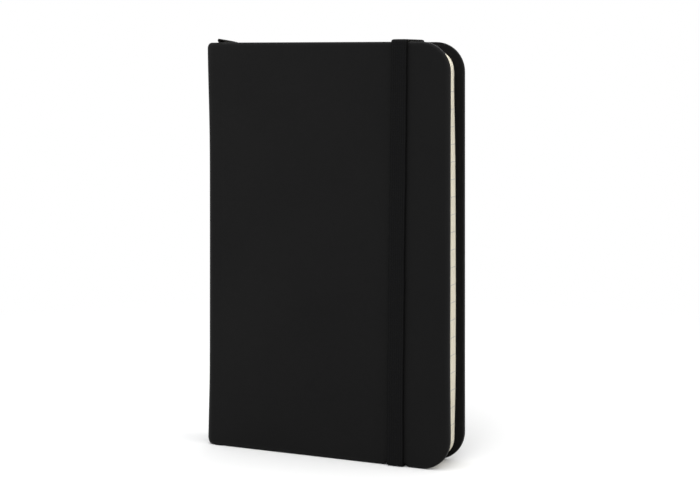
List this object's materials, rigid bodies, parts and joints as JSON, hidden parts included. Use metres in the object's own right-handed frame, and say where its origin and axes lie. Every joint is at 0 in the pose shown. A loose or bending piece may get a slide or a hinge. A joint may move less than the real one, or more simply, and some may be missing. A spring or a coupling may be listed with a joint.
{
  "type": "pocket notebook",
  "caption": "Hard-cover pocket notebook with sewn ruled leaves, rounded fore-edge corners, elastic closure band and ribbon marker, standing on its tail edge.",
  "frame": {"origin": "on the ground plane under the middle of the closed book", "axes": "+Z from tail to head, +X from spine to fore edge, -Y out of the front cover"},
  "size_m": [0.09, 0.0178, 0.1412],
  "materials": {
    "cover_skin": "matte soft-touch coated cloth, fine grain",
    "greyboard": "raw pressed board",
    "endpaper": "uncoated cream paper",
    "page_paper": "uncoated ivory paper, ruled",
    "lining_cloth": "open-weave mull",
    "thread": "twisted sewing thread",
    "elastic": "ribbed woven elastic",
    "ribbon_satin": "woven satin"
  },
  "bodies": {
    "spine_block": {"spine_skin": "cover_skin", "spine_board": "greyboard", "spine_lining": "lining_cloth", "sewing_thread": "thread", "section_folds": "page_paper", "endpaper_folds": "endpaper", "ribbon_root": "ribbon_satin"},
    "front_cover": {"front_cover_skin": "cover_skin", "front_board": "greyboard", "front_pastedown": "endpaper"},
    "back_cover": {"back_cover_skin": "cover_skin", "back_board": "greyboard", "back_pastedown": "endpaper", "elastic_anchors": "elastic"},
    "front_flyleaf": {"front_flyleaf": "endpaper"},
    "rear_flyleaf": {"rear_flyleaf": "endpaper"},
    "section_01": {"section_01": "page_paper"},
    "section_12": {"section_12": "page_paper"},
    "section_02": {"section_02": "page_paper"},
    "section_11": {"section_11": "page_paper"},
    "section_03": {"section_03": "page_paper"},
    "section_10": {"section_10": "page_paper"},
    "section_04": {"section_04": "page_paper"},
    "section_09": {"section_09": "page_paper"},
    "section_05": {"section_05": "page_paper"},
    "section_08": {"section_08": "page_paper"},
    "section_06": {"section_06": "page_paper"},
    "section_07": {"section_07": "page_paper"},
    "elastic_band": {"elastic_band": "elastic"},
    "ribbon": {"ribbon_marker": "ribbon_satin"}
  },
  "joints": [
    {"name": "front_cover_hinge", "type": "hinge", "parent": "spine_block", "child": "front_cover", "pos_m": [-0.039, -0.00805, 0.07], "axis": [0, 0, -1], "range_deg": [0, 178]},
    {"name": "back_cover_hinge", "type": "hinge", "parent": "spine_block", "child": "back_cover", "pos_m": [-0.039, 0.00805, 0.07], "axis": [0, 0, 1], "range_deg": [0, 178]},
    {"name": "front_flyleaf_turn", "type": "hinge", "parent": "spine_block", "child": "front_flyleaf", "pos_m": [-0.039, -0.00805, 0.07], "axis": [0, 0, -1], "range_deg": [0, 166]},
    {"name": "rear_flyleaf_turn", "type": "hinge", "parent": "spine_block", "child": "rear_flyleaf", "pos_m": [-0.039, 0.00805, 0.07], "axis": [0, 0, 1], "range_deg": [0, 166]},
    {"name": "section_01_turn", "type": "hinge", "parent": "spine_block", "child": "section_01", "pos_m": [-0.039, -0.00805, 0.07], "axis": [0, 0, -1], "range_deg": [0, 148]},
    {"name": "section_12_turn", "type": "hinge", "parent": "spine_block", "child": "section_12", "pos_m": [-0.039, 0.00805, 0.07], "axis": [0, 0, 1], "range_deg": [0, 148]},
    {"name": "section_02_turn", "type": "hinge", "parent": "spine_block", "child": "section_02", "pos_m": [-0.039, -0.00805, 0.07], "axis": [0, 0, -1], "range_deg": [0, 122]},
    {"name": "section_11_turn", "type": "hinge", "parent": "spine_block", "child": "section_11", "pos_m": [-0.039, 0.00805, 0.07], "axis": [0, 0, 1], "range_deg": [0, 122]},
    {"name": "section_03_turn", "type": "hinge", "parent": "spine_block", "child": "section_03", "pos_m": [-0.039, -0.00805, 0.07], "axis": [0, 0, -1], "range_deg": [0, 96]},
    {"name": "section_10_turn", "type": "hinge", "parent": "spine_block", "child": "section_10", "pos_m": [-0.039, 0.00805, 0.07], "axis": [0, 0, 1], "range_deg": [0, 96]},
    {"name": "section_04_turn", "type": "hinge", "parent": "spine_block", "child": "section_04", "pos_m": [-0.039, -0.00805, 0.07], "axis": [0, 0, -1], "range_deg": [0, 71]},
    {"name": "section_09_turn", "type": "hinge", "parent": "spine_block", "child": "section_09", "pos_m": [-0.039, 0.00805, 0.07], "axis": [0, 0, 1], "range_deg": [0, 71]},
    {"name": "section_05_turn", "type": "hinge", "parent": "spine_block", "child": "section_05", "pos_m": [-0.039, -0.00805, 0.07], "axis": [0, 0, -1], "range_deg": [0, 46]},
    {"name": "section_08_turn", "type": "hinge", "parent": "spine_block", "child": "section_08", "pos_m": [-0.039, 0.00805, 0.07], "axis": [0, 0, 1], "range_deg": [0, 46]},
    {"name": "section_06_turn", "type": "hinge", "parent": "spine_block", "child": "section_06", "pos_m": [-0.039, -0.00805, 0.07], "axis": [0, 0, -1], "range_deg": [0, 20]},
    {"name": "section_07_turn", "type": "hinge", "parent": "spine_block", "child": "section_07", "pos_m": [-0.039, 0.00805, 0.07], "axis": [0, 0, 1], "range_deg": [0, 20]},
    {"name": "elastic_release", "type": "slide", "parent": "back_cover", "child": "elastic_band", "axis": [0, 1, 0], "range_m": [0, 0.0178], "deforming": ["elastic_band"]},
    {"name": "ribbon_swing", "type": "hinge", "parent": "spine_block", "child": "ribbon", "pos_m": [-0.03565, 0, 0.1344], "axis": [0, -1, 0], "range_deg": [-8, 34]}
  ],
  "couplings": [
    {"joint": "back_cover_hinge", "follows": "front_cover_hinge", "ratio": 1},
    {"joint": "front_flyleaf_turn", "follows": "front_cover_hinge", "ratio": 0.93258},
    {"joint": "rear_flyleaf_turn", "follows": "front_cover_hinge", "ratio": 0.93258},
    {"joint": "section_01_turn", "follows": "front_cover_hinge", "ratio": 0.83146},
    {"joint": "section_12_turn", "follows": "front_cover_hinge", "ratio": 0.83146},
    {"joint": "section_02_turn", "follows": "front_cover_hinge", "ratio": 0.68539},
    {"joint": "section_11_turn", "follows": "front_cover_hinge", "ratio": 0.68539},
    {"joint": "section_03_turn", "follows": "front_cover_hinge", "ratio": 0.53933},
    {"joint": "section_10_turn", "follows": "front_cover_hinge", "ratio": 0.53933},
    {"joint": "section_04_turn", "follows": "front_cover_hinge", "ratio": 0.39887},
    {"joint": "section_09_turn", "follows": "front_cover_hinge", "ratio": 0.39887},
    {"joint": "section_05_turn", "follows": "front_cover_hinge", "ratio": 0.25843},
    {"joint": "section_08_turn", "follows": "front_cover_hinge", "ratio": 0.25843},
    {"joint": "section_06_turn", "follows": "front_cover_hinge", "ratio": 0.11236},
    {"joint": "section_07_turn", "follows": "front_cover_hinge", "ratio": 0.11236},
    {"joint": "elastic_release", "follows": "front_cover_hinge", "m_per_rad": 0.005729}
  ]
}
